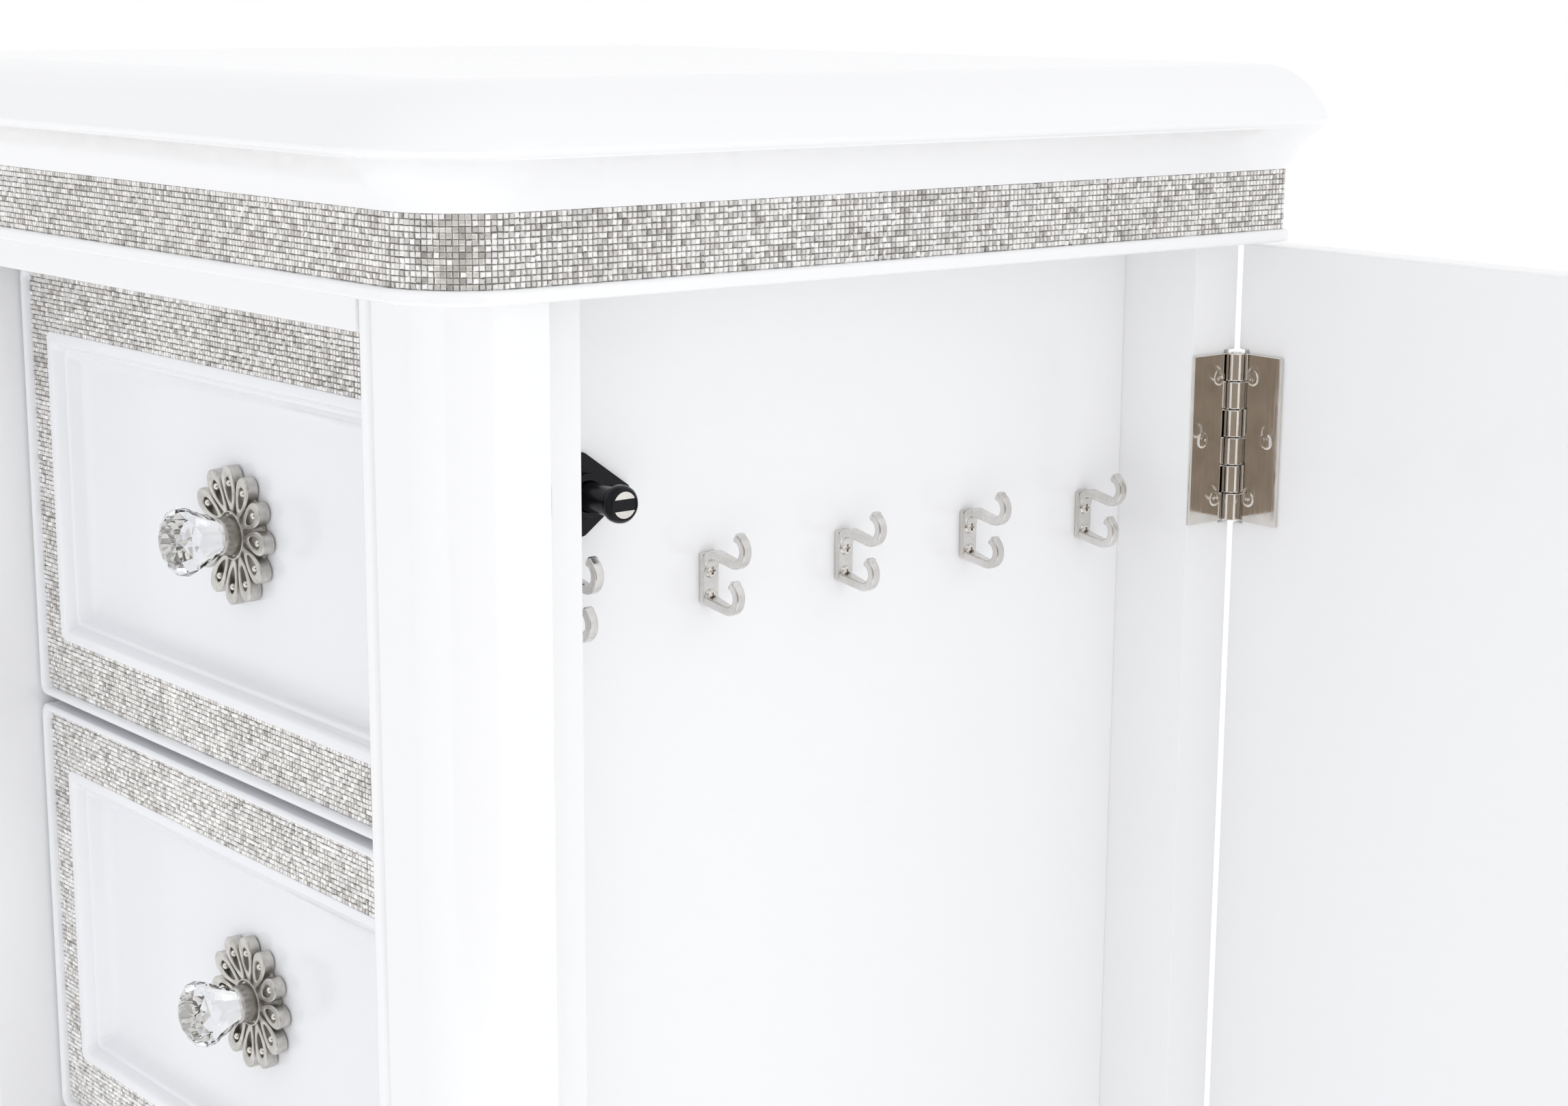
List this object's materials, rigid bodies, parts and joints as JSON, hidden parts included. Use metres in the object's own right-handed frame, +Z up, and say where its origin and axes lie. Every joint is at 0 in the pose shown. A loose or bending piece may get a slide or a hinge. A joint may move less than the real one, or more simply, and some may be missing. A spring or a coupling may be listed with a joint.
{
  "type": "jewelry armoire",
  "caption": "Standing lacquered jewelry chest with stone-trimmed drawers, crystal knobs, and hinged side doors over necklace hooks.",
  "frame": {"origin": "on the floor, under the middle of the case's footprint (the case without its doors)", "axes": "+Z is up. The drawer fronts face -Y. +X points to the side of the case where the door stands open, which is the right-hand side seen from the front."},
  "size_m": [0.7978, 0.4395, 1.158],
  "materials": {
    "lacquer": "high-gloss white lacquer over board",
    "drawer_lacquer": "gloss white lacquer over board, slightly cool",
    "stones": "silvery faceted stones on a mesh backing",
    "drawer_wood": "painted board, felt lined",
    "nickel": "polished nickel",
    "antique_nickel": "brushed antique nickel with dark recesses",
    "crystal": "clear faceted crystal",
    "black_plastic": "gloss black"
  },
  "bodies": {
    "cabinet": {"top_panel": "lacquer", "frieze_board": "lacquer", "frieze_stone_band": "stones", "header_rail": "lacquer", "base_panel": "lacquer", "bun_feet": "lacquer", "front_post_left": "lacquer", "front_post_right": "lacquer", "back_stile_left": "lacquer", "back_stile_right": "lacquer", "hook_panel_left": "lacquer", "hook_panel_right": "lacquer", "back_panel": "lacquer", "drawer_runners": "drawer_wood", "hinge_frame_leaves": "nickel", "hinge_pins": "nickel", "cabinet_screws": "nickel", "latch_bodies": "black_plastic", "necklace_hooks_left": "nickel", "necklace_hooks_right": "nickel"},
    "right_door": {"door_right": "lacquer", "hinge_door_leaves_right": "nickel", "door_screws_right": "nickel", "strike_right": "nickel"},
    "left_door": {"door_left": "lacquer", "hinge_door_leaves_left": "nickel", "door_screws_left": "nickel", "strike_left": "nickel"},
    "right_plunger": {"latch_plunger_right": "black_plastic"},
    "left_plunger": {"latch_plunger_left": "black_plastic"},
    "drawer_1": {"drawer_1_front": "drawer_lacquer", "drawer_1_box": "drawer_wood", "drawer_1_stone_trim": "stones", "drawer_1_rosette": "antique_nickel", "drawer_1_knob_screw": "antique_nickel", "drawer_1_crystal": "crystal"},
    "drawer_2": {"drawer_2_front": "drawer_lacquer", "drawer_2_box": "drawer_wood", "drawer_2_stone_trim": "stones", "drawer_2_rosette": "antique_nickel", "drawer_2_knob_screw": "antique_nickel", "drawer_2_crystal": "crystal"},
    "drawer_3": {"drawer_3_front": "drawer_lacquer", "drawer_3_box": "drawer_wood", "drawer_3_stone_trim": "stones", "drawer_3_rosette": "antique_nickel", "drawer_3_knob_screw": "antique_nickel", "drawer_3_crystal": "crystal"},
    "drawer_4": {"drawer_4_front": "drawer_lacquer", "drawer_4_box": "drawer_wood", "drawer_4_stone_trim": "stones", "drawer_4_rosette": "antique_nickel", "drawer_4_knob_screw": "antique_nickel", "drawer_4_crystal": "crystal"},
    "drawer_5": {"drawer_5_front": "drawer_lacquer", "drawer_5_box": "drawer_wood", "drawer_5_stone_trim": "stones", "drawer_5_rosette": "antique_nickel", "drawer_5_knob_screw": "antique_nickel", "drawer_5_crystal": "crystal"}
  },
  "joints": [
    {"name": "right_door_hinge", "type": "hinge", "parent": "cabinet", "child": "right_door", "pos_m": [0.201, 0.2005, 0.5995], "axis": [0, 0, 1], "range_deg": [-86, 14]},
    {"name": "left_door_hinge", "type": "hinge", "parent": "cabinet", "child": "left_door", "pos_m": [-0.201, 0.2005, 0.5995], "axis": [0, 0, -1], "range_deg": [0, 100]},
    {"name": "right_latch_press", "type": "slide", "parent": "cabinet", "child": "right_plunger", "axis": [-1, 0, 0], "range_m": [0, 0.004], "stiffness_N_per_m": 300},
    {"name": "left_latch_press", "type": "slide", "parent": "cabinet", "child": "left_plunger", "axis": [1, 0, 0], "range_m": [0, 0.004], "stiffness_N_per_m": 300},
    {"name": "drawer_1_slide", "type": "slide", "parent": "cabinet", "child": "drawer_1", "axis": [0, -1, 0], "range_m": [0, 0.24]},
    {"name": "drawer_2_slide", "type": "slide", "parent": "cabinet", "child": "drawer_2", "axis": [0, -1, 0], "range_m": [0, 0.24]},
    {"name": "drawer_3_slide", "type": "slide", "parent": "cabinet", "child": "drawer_3", "axis": [0, -1, 0], "range_m": [0, 0.24]},
    {"name": "drawer_4_slide", "type": "slide", "parent": "cabinet", "child": "drawer_4", "axis": [0, -1, 0], "range_m": [0, 0.24]},
    {"name": "drawer_5_slide", "type": "slide", "parent": "cabinet", "child": "drawer_5", "axis": [0, -1, 0], "range_m": [0, 0.24]}
  ]
}
